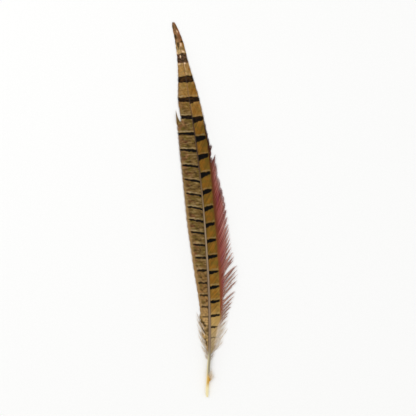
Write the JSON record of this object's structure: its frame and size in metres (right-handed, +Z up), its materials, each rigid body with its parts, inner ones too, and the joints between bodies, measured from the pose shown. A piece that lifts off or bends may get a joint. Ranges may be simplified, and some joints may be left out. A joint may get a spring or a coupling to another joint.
{
  "type": "pheasant tail feather",
  "caption": "Long pointed tail feather of a cock pheasant: bowed shaft, barred broad and narrow vanes, red free-ended fringe, bare quill. Lies flat as decoration, trimming or craft stock.",
  "frame": {"origin": "on the surface that the feather lies on, under the middle of its bounding box", "axes": "+Y from the quill's end to the tip, +Z up out of the barred upper face, +X towards the narrow vane and its red fringe"},
  "size_m": [0.0352, 0.278, 0.0065],
  "materials": {
    "vanes": "silky keratin barbs, olive-brown and ochre with black bars",
    "fringe": "loose wine-red barb ends",
    "down": "soft grey-tan down",
    "shaft": "smooth horn-like keratin, golden at the quill and grey-brown above"
  },
  "bodies": {
    "root": {"feather": "vanes"}
  },
  "joints": []
}
